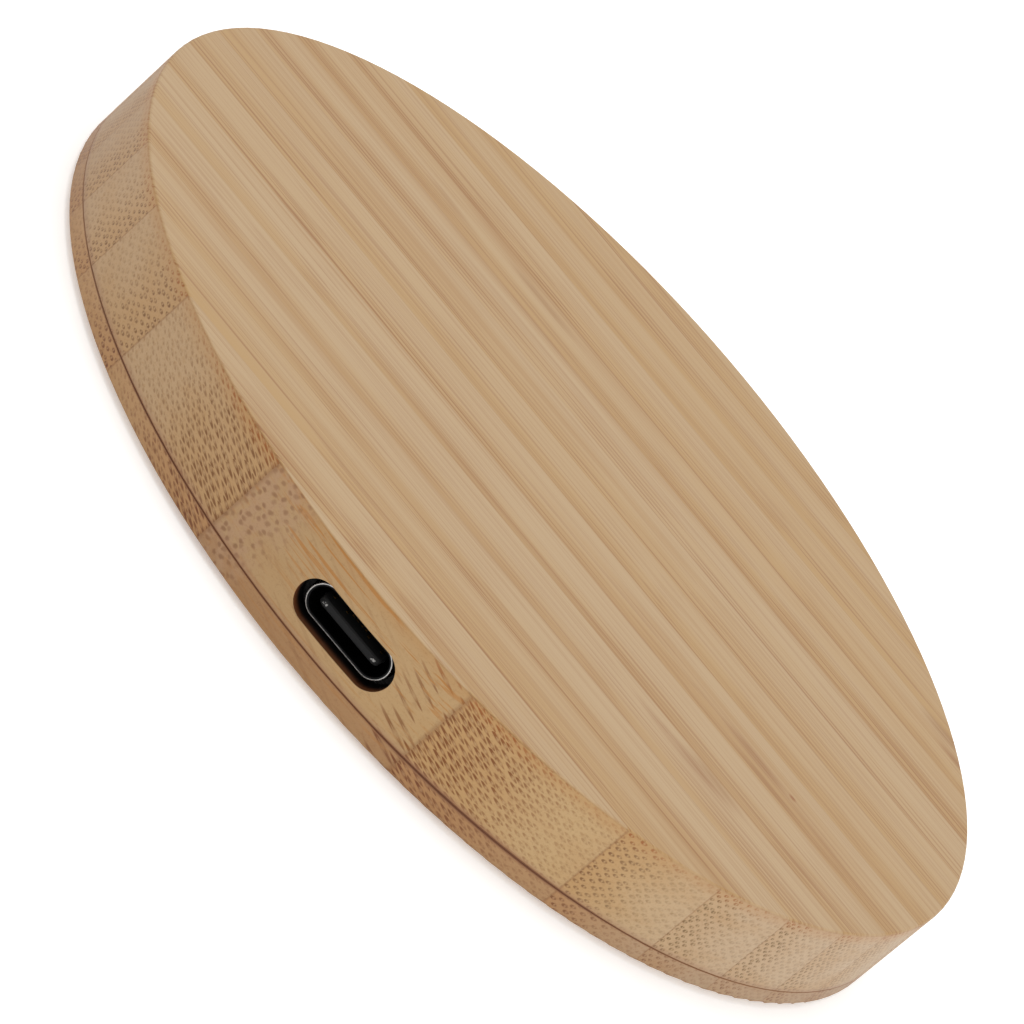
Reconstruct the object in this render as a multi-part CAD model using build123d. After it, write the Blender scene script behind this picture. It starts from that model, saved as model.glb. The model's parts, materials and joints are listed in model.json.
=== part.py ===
from build123d import *

import os
from math import cos, radians, sin

# A round bamboo wireless charging pad with a USB-C inlet in its rim.
# Millimetres, +Z up. The origin is the middle of the plane that the feet stand on, and the inlet faces -Y.
# The pad is a milled bamboo shell, closed from below by a bamboo plate on four screws. The coil and its
# ferrite hang from the shell's ceiling, and the circuit board lies between them and the inlet.

# How close two lengths are to count as equal, and how far a cutting shape runs past what it cuts
NEAR = 1e-3
CUT_OVER = 1.0
# The least gap between two parts that don't touch
THIN_GAP = 0.02

# The pad's outside
PAD_RADIUS = 47.5
SHELL_HEIGHT = 7.8
PLATE_THICKNESS = 1.8
FOOT_PROUD = 0.5
TOP_EDGE_RADIUS = 0.25
LOWER_EDGE_RADIUS = 0.3
SEAM_CHAMFER = 0.07

PLATE_Z = FOOT_PROUD
SHELL_Z = PLATE_Z + PLATE_THICKNESS
TOP_Z = SHELL_Z + SHELL_HEIGHT

# The pockets milled into the shell from below
TOP_SKIN = 2.0
CEILING_Z = TOP_Z - TOP_SKIN
COIL_POCKET_RADIUS = 26.5
PART_POCKET_HALF_WIDTH = 18.0
PART_POCKET_FRONT_RADIUS = 42.0
POCKET_CORNER_RADIUS = 1.5

# The feet, in shallow recesses that also hide the plate's screws
FOOT_RADIUS = 4.8
FOOT_CIRCLE_RADIUS = 38.0
FOOT_RECESS_DEPTH = 0.5
FOOT_RECESS_RADIUS = 5.0
FOOT_EDGE_RADIUS = 0.25
GLUE_THICKNESS = 0.1
GLUE_INSET = 0.1
FOOT_ANGLES = {
    "front_right": -45,
    "rear_right": 45,
    "rear_left": 135,
    "front_left": -135,
}

# Self-tapping screws: a flat wafer head under the plate, and a smaller one under the board
PLATE_SCREW = {"head_r": 2.0, "head_h": 0.5, "thread_r": 1.0, "length": 5.5}
BOARD_SCREW = {"head_r": 1.5, "head_h": 0.8, "thread_r": 0.8, "length": 3.6}
HEAD_CLEARANCE = 0.2
HEAD_RECESS_DEPTH = 0.55
SHANK_CLEARANCE = 0.1
PILOT_EXTRA_DEPTH = 0.4
BOARD_PILOT_DEPTH = 3.0
SCREW_SEAT_Z = PLATE_Z + FOOT_RECESS_DEPTH + HEAD_RECESS_DEPTH

# A screw's proportions: of the thread's radius, of the head's radius and of the head's height
THREAD_CORE = 0.72
THREAD_PITCH = 0.8
POINT_LENGTH = 1.2
HEAD_FLAT = 0.8
HEAD_RIM = 0.6
GROOVE_LENGTH = 1.1
GROOVE_WIDTH = 0.22
# One thread's profile: how far along the pitch, and whether it is at the crest
THREAD_PROFILE = ((0.0, False), (0.35, True), (0.5, True), (0.85, False))
FIRST_THREAD = 0.4

# The inlet: a racetrack slot in the rim, with a USB-C receptacle set back in it
INLET_Z = 5.5
SLOT_WIDTH = 10.25
SLOT_HEIGHT = 3.87
SLOT_DEPTH = 2.6
RIM_DEPTH = 1.3
PASSAGE_GAP = 0.15
PASSAGE_REAR_Y = -40.0
LEG_ROOM_HALF_WIDTH = 6.4
LEG_ROOM_FRONT_Y = -PAD_RADIUS + SLOT_DEPTH + 1.0
LEG_ROOM_REAR_Y = -38.0
LEG_ROOM_TOP_Z = INLET_Z + 1.0
USB_WIDTH = 8.94
USB_HEIGHT = 3.16
USB_WALL = 0.3
USB_LENGTH = 7.3
USB_FRONT_Y = -PAD_RADIUS + RIM_DEPTH
USB_REAR_Y = USB_FRONT_Y + USB_LENGTH
TONGUE_SETBACK = 0.1
TONGUE_WIDTH = 6.69
TONGUE_THICKNESS = 0.7
TONGUE_CORNER_RADIUS = 0.5
TONGUE_TIP_BEVEL = 0.12
TONGUE_STEP_LENGTH = 1.2
TONGUE_STEP_HALF = 0.6
INSULATOR_LENGTH = 2.0
RIM_ROUNDING = 0.3 * USB_WALL

# The steel plate in the tongue, measured from the tongue's tip
MID_PLATE_HALF_THICKNESS = 0.11
MID_PLATE_HALF_WIDTH = 3.0
MID_PLATE_SETBACK = 0.35
MID_PLATE_REAR_Y = USB_REAR_Y - 1.0
EAR_PROUD = 0.08
EAR_RUN = (1.3, 2.8)
PRONG_RUN = (-0.03, 0.6)
PRONG_X = (2.58, 3.02)

# The contacts on each face of the tongue, in steps of the pitch from the middle
CONTACT_PITCH = 0.5
CONTACT_STEPS = (-5.5, -2.5, -1.5, -0.5, 0.5, 1.5, 2.5, 5.5)
LONG_CONTACT_STEP = 2.5
LONG_CONTACT_SETBACK = 1.2
SHORT_CONTACT_SETBACK = 1.7
CONTACT_WIDTH = 0.25
CONTACT_RELIEF = 0.05
CONTACT_SUNK = 0.1
CONTACT_REAR_Y = USB_REAR_Y - 2.6
TAIL_RUN = (USB_REAR_Y - 0.8, USB_REAR_Y + 1.1)
TAIL_THICKNESS = 0.15

# The circuit board
BOARD_TOP_Z = 4.9
BOARD_THICKNESS = 1.0
BOARD_HALF_WIDTH = 22.0
BOARD_FRONT_RADIUS = 43.2
BOARD_REAR_Y = -27.8
BOARD_GAP = 0.25
BOARD_HOLE = (20.0, -33.0)
BOARD_HOLE_CLEARANCE = 0.1
BOARD_CORNER_RADIUS = 0.8
NOTCH_HALF_WIDTH = 4.62
NOTCH_GAP = 0.12
LEG_X = 5.45
LEG_THICKNESS = 0.3
LEG_BELOW = 0.3
LEG_SLOT_GAP = 0.15
LEG_RUNS = ((USB_REAR_Y - 1.5, USB_REAR_Y - 0.4), (-43.2, -41.9))
WING_OVERLAP = 0.12

# Packages on the board: where each one's middle is, and its width, depth and height
CONTROLLER = {"place": (-9.6, -33.6), "size": (5.0, 5.0, 0.85)}
BRIDGE_PLACES = ((8.8, -34.6), (13.6, -34.6))
BRIDGE_SIZE = (3.3, 3.3, 0.8)
PROTOCOL = {"place": (-3.6, -34.4), "size": (2.9, 1.6, 1.1)}
PROTOCOL_PIN = {"pitch": 0.95, "half_width": 0.2, "reach": 1.4, "thickness": 0.15}
PROTOCOL_PIN_STEPS = (-1, 0, 1)
PACKAGE_BEVEL = 0.08
PIN_MARK = {"radius": 0.3, "depth": 0.05, "inset": 0.7}

# Two-terminal parts: length, width and height of each body size
LARGE_CAPACITOR = (3.2, 1.6, 1.6)
SHUNT = (3.2, 1.6, 0.6)
LAMP = (1.6, 0.8, 0.6)
SMALL_RESISTOR = (1.0, 0.5, 0.35)
SMALL_CAPACITOR = (1.0, 0.5, 0.5)
END_CAP_SHARE = 0.18
END_CAP_PROUD = 0.03
RESONANT_PLACES = [(11.4 + 1.9 * i, -30.0) for i in range(4)]
INPUT_PLACES = ((-9.2, -38.4), (9.2, -38.6), (13.6, -37.6))
SHUNT_PLACE = (2.4, -34.6)
LAMP_PLACE = (-7.4, -40.4)
SMALL_RESISTOR_PLACES = [(-15.6 + 1.4 * i, -29.0) for i in range(11)]
SMALL_CAPACITOR_PLACES = [(-14.9 + 1.4 * i, -30.1) for i in range(10)]

# The choke: a square core with a round waist
CHOKE_PLACE = (-15.0, -35.2)
CHOKE_SIDE = 4.0
CHOKE_HEIGHT = 1.8
CHOKE_CORNER_RADIUS = 0.6
CHOKE_FLANGE = 0.5
CHOKE_WAIST_RADIUS = 1.75

# The coil: a flat spiral of litz wire, under a ceiling tape and over a ferrite disc
WIRE_RADIUS = 0.54
COIL_PITCH = 1.12
COIL_TURNS = 10
COIL_START_RADIUS = 10.6
TAPE_THICKNESS = 0.1
TAPE_RADIUS = 22.2
TAPE_HOLE_RADIUS = 10.2
TAPE_GAP = 0.01
COIL_Z = CEILING_Z - TAPE_THICKNESS - WIRE_RADIUS - TAPE_GAP
FERRITE_RADIUS = 25.0
FERRITE_THICKNESS = 0.8
FERRITE_HOLE_RADIUS = 3.0
FERRITE_TOP_Z = COIL_Z - WIRE_RADIUS - TAPE_GAP - TAPE_THICKNESS
FERRITE_Z = FERRITE_TOP_Z - FERRITE_THICKNESS
LEAD_X = 3.0
LEAD_SLOT_WIDTH = 2.7
LEAD_SLOT_REAR_Y = -2.0
SLEEVE_RADIUS = 0.74
SLEEVE_LENGTH = 14.2
SLEEVE_Y = -17.1
CROSSING_Z = COIL_Z - WIRE_RADIUS - THIN_GAP - SLEEVE_RADIUS
PAD_LEVEL_Z = BOARD_TOP_Z + WIRE_RADIUS + THIN_GAP

# Where the leads run: the loop inside the coil, and the soldered ends on the board
LOOP_X = -3.2
LOOP_Y = -4.6
LEAD_END_Y = -31.6
OUTER_LEAD_X = LEAD_X + 5.5
INNER_LEAD_BENDS = [2.9, 2.9, 2.9, 6, 8, 6]
OUTER_LEAD_BENDS = [2.6, 3, 3]
OUTER_LEAD_LEAN = 0.6

# The temperature sensor in the coil's middle, and the film that holds its wires to the ferrite
BEAD_RADIUS = 0.6
BEAD_PLACE = (0.0, 0.8, CEILING_Z - BEAD_RADIUS - THIN_GAP)
BEAD_NECK = {"share": 0.85, "length": 1.4, "back": 0.6}
SENSOR_WIRE_RADIUS = 0.15
SENSOR_WIRE_X = 0.35
SENSOR_WIRE_BENDS = [0.5, 0.5, 1.5, 1.5]
SENSOR_WIRE_RUNS = (1.3, 2.1, 2.9)
SENSOR_DROP_Y = (-25.6, -28.4)
FILM_X = (-3.6, 1.5)
FILM_Y = (-20.0, -8.0)
FILM_THICKNESS = 0.06
FILM_GAP = 0.01

# A solder joint: its size beside the wire's radius, and its run along Y from the wire's end
JOINT_WIDTH_SHARE = 1.7
JOINT_LEAST_HALF_WIDTH = 0.3
JOINT_HEIGHT_SHARE = 1.5
JOINT_BEVEL_SHARE = 0.6
JOINT_RUN = (-0.3, 1.5)


def box(x0, x1, y0, y1, z0, z1):
    """A block between two corners."""
    middle = Location(((x0 + x1) / 2, (y0 + y1) / 2, (z0 + z1) / 2))
    return middle * Box(x1 - x0, y1 - y0, z1 - z0)


def disc(radius, z0, z1, x=0.0, y=0.0):
    """An upright cylinder between two heights."""
    return Location((x, y, (z0 + z1) / 2)) * Cylinder(radius, z1 - z0)


def racetrack(width, height, y0, y1):
    """A slot shape with round ends that runs along Y, about the inlet's middle."""
    end = Plane((0, y1, INLET_Z), x_dir=(1, 0, 0), z_dir=(0, -1, 0))
    return extrude(end * SlotOverall(width, height), amount=y1 - y0)


def foot_places():
    """The name and middle of each foot."""
    for name, angle in FOOT_ANGLES.items():
        turn = radians(angle)
        yield name, FOOT_CIRCLE_RADIUS * cos(turn), FOOT_CIRCLE_RADIUS * sin(turn)


def edges_at(shape, radius, z):
    """The full circles of that radius that lie at that height."""
    return [
        edge
        for edge in shape.edges().filter_by(GeomType.CIRCLE)
        if abs(edge.radius - radius) < NEAR and abs(edge.center().Z - z) < NEAR
    ]


def front_arc_cut(radius, half_width, y_rear, z0, z1):
    """A block whose front is an arc about the pad's axis and whose sides are straight."""
    block = box(-half_width, half_width, -PAD_RADIUS, y_rear, z0, z1)
    return block & disc(radius, z0, z1)


# The casing


def top_shell():
    shell = disc(PAD_RADIUS, SHELL_Z, TOP_Z)
    shell = fillet(edges_at(shell, PAD_RADIUS, TOP_Z), TOP_EDGE_RADIUS)
    shell = chamfer(edges_at(shell, PAD_RADIUS, SHELL_Z), SEAM_CHAMFER)
    shell -= disc(COIL_POCKET_RADIUS, SHELL_Z, CEILING_Z)
    parts_pocket = front_arc_cut(
        PART_POCKET_FRONT_RADIUS,
        PART_POCKET_HALF_WIDTH,
        -COIL_POCKET_RADIUS / 2,
        SHELL_Z,
        CEILING_Z,
    )
    shell -= fillet(parts_pocket.edges().filter_by(Axis.Z), POCKET_CORNER_RADIUS)
    board_pocket = front_arc_cut(
        BOARD_FRONT_RADIUS + BOARD_GAP,
        BOARD_HALF_WIDTH + BOARD_GAP,
        BOARD_REAR_Y + BOARD_GAP,
        SHELL_Z,
        BOARD_TOP_Z,
    )
    shell -= board_pocket
    shell -= racetrack(SLOT_WIDTH, SLOT_HEIGHT, -PAD_RADIUS - CUT_OVER, -PAD_RADIUS + SLOT_DEPTH)
    # Behind the slot, a passage that only the receptacle's body fits
    shell -= racetrack(
        USB_WIDTH + 2 * PASSAGE_GAP,
        USB_HEIGHT + 2 * PASSAGE_GAP,
        -PAD_RADIUS,
        PASSAGE_REAR_Y,
    )
    # Room for the receptacle's soldered legs, beside its body
    shell -= box(
        -LEG_ROOM_HALF_WIDTH,
        LEG_ROOM_HALF_WIDTH,
        LEG_ROOM_FRONT_Y,
        LEG_ROOM_REAR_Y,
        SHELL_Z,
        LEG_ROOM_TOP_Z,
    )
    depth = PLATE_SCREW["length"] + PILOT_EXTRA_DEPTH
    for _, x, y in foot_places():
        radius = PLATE_SCREW["thread_r"] + THIN_GAP
        shell -= disc(radius, SHELL_Z, SCREW_SEAT_Z + depth, x, y)
    for side in (-1, 1):
        radius = BOARD_SCREW["thread_r"] + THIN_GAP
        x, y = BOARD_HOLE
        shell -= disc(radius, BOARD_TOP_Z, BOARD_TOP_Z + BOARD_PILOT_DEPTH, side * x, y)
    return shell


def bottom_plate():
    plate = disc(PAD_RADIUS, PLATE_Z, SHELL_Z)
    plate = fillet(edges_at(plate, PAD_RADIUS, PLATE_Z), LOWER_EDGE_RADIUS)
    plate = chamfer(edges_at(plate, PAD_RADIUS, SHELL_Z), SEAM_CHAMFER)
    for _, x, y in foot_places():
        plate -= disc(FOOT_RECESS_RADIUS, PLATE_Z, PLATE_Z + FOOT_RECESS_DEPTH, x, y)
        head_room = PLATE_SCREW["head_r"] + HEAD_CLEARANCE
        plate -= disc(head_room, PLATE_Z, SCREW_SEAT_Z, x, y)
        plate -= disc(PLATE_SCREW["thread_r"] + SHANK_CLEARANCE, PLATE_Z, SHELL_Z, x, y)
    return plate


def foot(x, y):
    top = PLATE_Z + FOOT_RECESS_DEPTH - GLUE_THICKNESS
    pad = disc(FOOT_RADIUS, 0, top, x, y)
    return fillet(edges_at(pad, FOOT_RADIUS, 0), FOOT_EDGE_RADIUS)


def foot_adhesives():
    top = PLATE_Z + FOOT_RECESS_DEPTH
    return [
        disc(FOOT_RADIUS - GLUE_INSET, top - GLUE_THICKNESS, top, x, y)
        for _, x, y in foot_places()
    ]


def screw(size, x, y, seat_z):
    """A cross-head screw, point up, with its head's underside at seat_z."""
    head_r = size["head_r"]
    head_h = size["head_h"]
    thread_r = size["thread_r"]
    length = size["length"]
    core_r = thread_r * THREAD_CORE
    pitch = thread_r * THREAD_PITCH
    outline = [(0, -head_h), (head_r * HEAD_FLAT, -head_h), (head_r, -head_h * HEAD_RIM)]
    outline += [(head_r, 0), (core_r, 0)]
    height = pitch * FIRST_THREAD
    while height + pitch < length - thread_r:
        for share, crest in THREAD_PROFILE:
            outline.append((thread_r if crest else core_r, height + pitch * share))
        height += pitch
    outline += [(core_r, length - thread_r * POINT_LENGTH), (0, length)]
    profile = Plane.XZ * make_face(Polyline(*outline, close=True))
    body = revolve(profile, Axis.Z)
    for angle in (0, 90):
        groove = Location((0, 0, -head_h), (0, 0, angle))
        body -= groove * Box(head_r * GROOVE_LENGTH, head_r * GROOVE_WIDTH, head_h * GROOVE_LENGTH)
    return Location((x, y, seat_z)) * body


def plate_screws():
    return [screw(PLATE_SCREW, x, y, SCREW_SEAT_Z) for _, x, y in foot_places()]


def board_screws():
    x, y = BOARD_HOLE
    seat = BOARD_TOP_Z - BOARD_THICKNESS
    return [screw(BOARD_SCREW, side * x, y, seat) for side in (-1, 1)]


# The USB-C receptacle


def leg_places():
    """Which side each soldered leg is on, and where its two ends are along Y."""
    for y0, y1 in LEG_RUNS:
        for side in (-1, 1):
            yield side, y0, y1


def usb_shell():
    outer = racetrack(USB_WIDTH, USB_HEIGHT, USB_FRONT_Y, USB_REAR_Y)
    inside = racetrack(
        USB_WIDTH - 2 * USB_WALL,
        USB_HEIGHT - 2 * USB_WALL,
        USB_FRONT_Y - CUT_OVER,
        USB_REAR_Y + CUT_OVER,
    )
    shell = outer - inside
    front_rim = [e for e in shell.edges() if abs(e.center().Y - USB_FRONT_Y) < NEAR]
    shell = fillet(front_rim, RIM_ROUNDING)
    edge_x = USB_WIDTH / 2 - WING_OVERLAP
    for side, y0, y1 in leg_places():
        wing_x = sorted((side * edge_x, side * (LEG_X + LEG_THICKNESS)))
        leg_x = sorted((side * LEG_X, side * (LEG_X + LEG_THICKNESS)))
        wing_top = BOARD_TOP_Z + LEG_THICKNESS
        shell += box(*wing_x, y0, y1, BOARD_TOP_Z, wing_top)
        shell += box(*leg_x, y0, y1, BOARD_TOP_Z - BOARD_THICKNESS - LEG_BELOW, wing_top)
    return shell


def usb_tongue():
    """The moulded insulator: a thin tongue on a block that closes the shell's rear."""
    half = TONGUE_WIDTH / 2
    front = USB_FRONT_Y + TONGUE_SETBACK
    block_y = USB_REAR_Y - INSULATOR_LENGTH
    tongue = box(
        -half,
        half,
        front,
        block_y,
        INLET_Z - TONGUE_THICKNESS / 2,
        INLET_Z + TONGUE_THICKNESS / 2,
    )
    tongue = fillet(tongue.edges().filter_by(Axis.Z), TONGUE_CORNER_RADIUS)
    tip = [e for e in tongue.edges().filter_by(Axis.X) if abs(e.center().Y - front) < NEAR]
    tongue = chamfer(tip, TONGUE_TIP_BEVEL)
    step = box(
        -half,
        half,
        block_y - TONGUE_STEP_LENGTH,
        block_y,
        INLET_Z - TONGUE_STEP_HALF,
        INLET_Z + TONGUE_STEP_HALF,
    )
    block = racetrack(
        USB_WIDTH - 2 * USB_WALL - THIN_GAP,
        USB_HEIGHT - 2 * USB_WALL - THIN_GAP,
        block_y,
        USB_REAR_Y,
    )
    return tongue + step + block - usb_mid_plate() - Compound(usb_contacts())


def usb_mid_plate():
    """The steel plate in the tongue: its ears show at the sides and its two prongs at the tip."""
    tip = USB_FRONT_Y + TONGUE_SETBACK
    low = INLET_Z - MID_PLATE_HALF_THICKNESS
    high = INLET_Z + MID_PLATE_HALF_THICKNESS
    half = MID_PLATE_HALF_WIDTH
    plate = box(-half, half, tip + MID_PLATE_SETBACK, MID_PLATE_REAR_Y, low, high)
    ear_x = TONGUE_WIDTH / 2 + EAR_PROUD
    plate += box(-ear_x, ear_x, tip + EAR_RUN[0], tip + EAR_RUN[1], low, high)
    for side in (-1, 1):
        prong_x = sorted(side * edge for edge in PRONG_X)
        plate += box(*prong_x, tip + PRONG_RUN[0], tip + PRONG_RUN[1], low, high)
    return plate


def usb_contacts():
    """Sixteen contacts, eight on each face of the tongue, and their soldered tails."""
    solids = []
    tip = USB_FRONT_Y + TONGUE_SETBACK
    half = CONTACT_WIDTH / 2
    face = TONGUE_THICKNESS / 2
    upper = (INLET_Z + face - CONTACT_SUNK, INLET_Z + face + CONTACT_RELIEF)
    lower = (INLET_Z - face - CONTACT_RELIEF, INLET_Z - face + CONTACT_SUNK)
    for step in CONTACT_STEPS:
        x = step * CONTACT_PITCH
        is_long = abs(step) >= LONG_CONTACT_STEP
        front = tip + (LONG_CONTACT_SETBACK if is_long else SHORT_CONTACT_SETBACK)
        for z0, z1 in (upper, lower):
            solids.append(box(x - half, x + half, front, CONTACT_REAR_Y, z0, z1))
        solids.append(box(x - half, x + half, *TAIL_RUN, BOARD_TOP_Z, BOARD_TOP_Z + TAIL_THICKNESS))
    return solids


# The circuit board and what is soldered to it


def circuit_board():
    low = BOARD_TOP_Z - BOARD_THICKNESS
    board = front_arc_cut(
        BOARD_FRONT_RADIUS, BOARD_HALF_WIDTH, BOARD_REAR_Y, low, BOARD_TOP_Z
    )
    board = fillet(board.edges().filter_by(Axis.Z), BOARD_CORNER_RADIUS)
    # The receptacle sinks into a notch in the front edge
    notch_y = USB_REAR_Y + NOTCH_GAP
    board -= box(-NOTCH_HALF_WIDTH, NOTCH_HALF_WIDTH, -PAD_RADIUS, notch_y, low, BOARD_TOP_Z)
    for side, y0, y1 in leg_places():
        slot_x = sorted((side * (LEG_X - LEG_SLOT_GAP), side * (LEG_X + LEG_THICKNESS + LEG_SLOT_GAP)))
        board -= box(*slot_x, y0 - LEG_SLOT_GAP, y1 + LEG_SLOT_GAP, low, BOARD_TOP_Z)
    x, y = BOARD_HOLE
    for side in (-1, 1):
        board -= disc(BOARD_SCREW["thread_r"] + BOARD_HOLE_CLEARANCE, low, BOARD_TOP_Z, side * x, y)
    return board


def on_board(place, size):
    """A block of that width, depth and height that stands on the board."""
    x, y = place
    width, depth, height = size
    return box(
        x - width / 2,
        x + width / 2,
        y - depth / 2,
        y + depth / 2,
        BOARD_TOP_Z,
        BOARD_TOP_Z + height,
    )


def package(place, size):
    """A flat moulded body with a bevelled top."""
    body = on_board(place, size)
    return chamfer(body.faces().sort_by(Axis.Z)[-1].edges(), PACKAGE_BEVEL)


def marked_package(place, size):
    """A moulded body with a pin-one dimple."""
    x, y = place
    width, depth, height = size
    inset = PIN_MARK["inset"]
    top = BOARD_TOP_Z + height
    mark = disc(
        PIN_MARK["radius"],
        top - PIN_MARK["depth"],
        top,
        x - width / 2 + inset,
        y + depth / 2 - inset,
    )
    return package(place, size) - mark


def two_terminal(place, size, along_x=True):
    """A ceramic chip: a body between two slightly larger end caps."""
    x, y = place
    length, width, height = size
    cap = length * END_CAP_SHARE
    half_length = length / 2
    half_width = width / 2

    def block(from_end, to_end, inset):
        side = half_width - inset
        z0 = BOARD_TOP_Z + inset
        z1 = BOARD_TOP_Z + height - inset
        if along_x:
            return box(x + from_end, x + to_end, y - side, y + side, z0, z1)
        return box(x - side, x + side, y + from_end, y + to_end, z0, z1)

    body = block(-half_length + cap, half_length - cap, END_CAP_PROUD)
    body += block(-half_length, -half_length + cap, 0)
    return body + block(half_length - cap, half_length, 0)


def controller_chip():
    return marked_package(CONTROLLER["place"], CONTROLLER["size"])


def bridge_chips():
    return [marked_package(place, BRIDGE_SIZE) for place in BRIDGE_PLACES]


def protocol_chip():
    """A small package with three pins on each side."""
    body = package(PROTOCOL["place"], PROTOCOL["size"])
    x, y = PROTOCOL["place"]
    pin = PROTOCOL_PIN
    size = (2 * pin["half_width"], 2 * pin["reach"], pin["thickness"])
    for step in PROTOCOL_PIN_STEPS:
        body += on_board((x + step * pin["pitch"], y), size)
    return body


def resonant_capacitors():
    return [two_terminal(place, LARGE_CAPACITOR, along_x=False) for place in RESONANT_PLACES]


def input_capacitors():
    return [two_terminal(place, LARGE_CAPACITOR) for place in INPUT_PLACES]


def sense_resistor():
    return two_terminal(SHUNT_PLACE, SHUNT)


def status_led():
    return two_terminal(LAMP_PLACE, LAMP)


def input_inductor():
    """A square drum-core choke: two flanges with the winding held back between them."""
    x, y = CHOKE_PLACE
    core = on_board(CHOKE_PLACE, (CHOKE_SIDE, CHOKE_SIDE, CHOKE_HEIGHT))
    core = fillet(core.edges().filter_by(Axis.Z), CHOKE_CORNER_RADIUS)
    waist = box(
        x - CHOKE_SIDE,
        x + CHOKE_SIDE,
        y - CHOKE_SIDE,
        y + CHOKE_SIDE,
        BOARD_TOP_Z + CHOKE_FLANGE,
        BOARD_TOP_Z + CHOKE_HEIGHT - CHOKE_FLANGE,
    )
    waist -= disc(CHOKE_WAIST_RADIUS, BOARD_TOP_Z, BOARD_TOP_Z + CHOKE_HEIGHT, x, y)
    return core - waist


def signal_resistors():
    return [two_terminal(place, SMALL_RESISTOR) for place in SMALL_RESISTOR_PLACES]


def signal_capacitors():
    return [two_terminal(place, SMALL_CAPACITOR) for place in SMALL_CAPACITOR_PLACES]


def lead_ends():
    """Where each wire's soldered end lies on the board, with that wire's radius."""
    for x in (LEAD_X, OUTER_LEAD_X):
        yield x, WIRE_RADIUS
    for x in (-SENSOR_WIRE_X, SENSOR_WIRE_X):
        yield x, SENSOR_WIRE_RADIUS


def solder_joints():
    """A low dome of solder round the end of each wire."""
    wires = Compound([charging_coil(), *thermistor_wires()])
    joints = []
    for x, wire_r in lead_ends():
        half = max(wire_r * JOINT_WIDTH_SHARE, JOINT_LEAST_HALF_WIDTH)
        joint = box(
            x - half,
            x + half,
            LEAD_END_Y + JOINT_RUN[0],
            LEAD_END_Y + JOINT_RUN[1],
            BOARD_TOP_Z,
            BOARD_TOP_Z + wire_r * JOINT_HEIGHT_SHARE,
        )
        joint = chamfer(joint.faces().sort_by(Axis.Z)[-1].edges(), wire_r * JOINT_BEVEL_SHARE)
        joints.append(joint - wires)
    return joints


# The coil and its shield


def spiral_path():
    """Half turns whose centres alternate, so that each is tangent to the next."""
    arcs = []
    grow = COIL_PITCH / 2
    radius, centre_y, start = COIL_START_RADIUS, 0.0, -90
    for _ in range(2 * COIL_TURNS):
        centre = Plane((0, centre_y, COIL_Z))
        arcs.append(centre * CenterArc((0, 0), radius, start, 180))
        # The next half turn starts where this one ends, and is wider by half a pitch.
        toward = 1 if start == -90 else -1
        centre_y -= toward * grow
        radius += grow
        start = 90 if start == -90 else -90
    return arcs


def tube(path, radius):
    """A round wire along a path that starts in a straight run or an arc."""
    start = Plane(path @ 0, z_dir=path % 0)
    return sweep(start * Circle(radius), path=path)


def inner_lead():
    """From the inmost turn round a loop inside the coil, then out through the ferrite's slot."""
    points = [
        (0, -COIL_START_RADIUS, COIL_Z),
        (LOOP_X, -COIL_START_RADIUS, COIL_Z),
        (LOOP_X, LOOP_Y, COIL_Z),
        (LEAD_X, LOOP_Y, COIL_Z),
        (LEAD_X, -9.0, CROSSING_Z),
        (LEAD_X, -25.0, CROSSING_Z),
        (LEAD_X, -28.6, PAD_LEVEL_Z),
        (LEAD_X, LEAD_END_Y, PAD_LEVEL_Z),
    ]
    return FilletPolyline(*points, radius=INNER_LEAD_BENDS)


def outer_lead():
    """From the outmost turn over the ferrite's edge and down to the board."""
    end_y = -(COIL_START_RADIUS + COIL_TURNS * COIL_PITCH)
    points = [
        (0, end_y, COIL_Z),
        (OUTER_LEAD_X - OUTER_LEAD_LEAN, end_y, COIL_Z),
        (OUTER_LEAD_X, -26.0, COIL_Z),
        (OUTER_LEAD_X, -29.2, PAD_LEVEL_Z),
        (OUTER_LEAD_X, LEAD_END_Y, PAD_LEVEL_Z),
    ]
    return FilletPolyline(*points, radius=OUTER_LEAD_BENDS)


def charging_coil():
    winding = tube(Wire(spiral_path()), WIRE_RADIUS)
    for lead in (inner_lead(), outer_lead()):
        winding += tube(lead, WIRE_RADIUS)
    return winding


def inner_lead_sleeve():
    """Woven sleeving where the inner lead crosses under the turns."""
    sleeve = Cylinder(SLEEVE_RADIUS, SLEEVE_LENGTH)
    sleeve -= Cylinder(WIRE_RADIUS + THIN_GAP, SLEEVE_LENGTH + CUT_OVER)
    return Location((LEAD_X, SLEEVE_Y, CROSSING_Z), (90, 0, 0)) * sleeve


def tape_ring(z0, z1):
    """Double-sided tape the shape of the winding."""
    return disc(TAPE_RADIUS, z0, z1) - disc(TAPE_HOLE_RADIUS, z0, z1)


def coil_tape():
    return tape_ring(CEILING_Z - TAPE_THICKNESS, CEILING_Z)


def lead_slot(z0, z1):
    """Room for the inner lead, from the middle to the front edge."""
    half = LEAD_SLOT_WIDTH / 2
    return box(LEAD_X - half, LEAD_X + half, -FERRITE_RADIUS - CUT_OVER, LEAD_SLOT_REAR_Y, z0, z1)


def ferrite_tape():
    top = FERRITE_TOP_Z + TAPE_THICKNESS
    return tape_ring(FERRITE_TOP_Z, top) - lead_slot(FERRITE_TOP_Z, top)


def ferrite_shield():
    plate = disc(FERRITE_RADIUS, FERRITE_Z, FERRITE_TOP_Z)
    plate -= disc(FERRITE_HOLE_RADIUS, FERRITE_Z, FERRITE_TOP_Z)
    return plate - lead_slot(FERRITE_Z, FERRITE_TOP_Z)


# The temperature sensor


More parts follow.
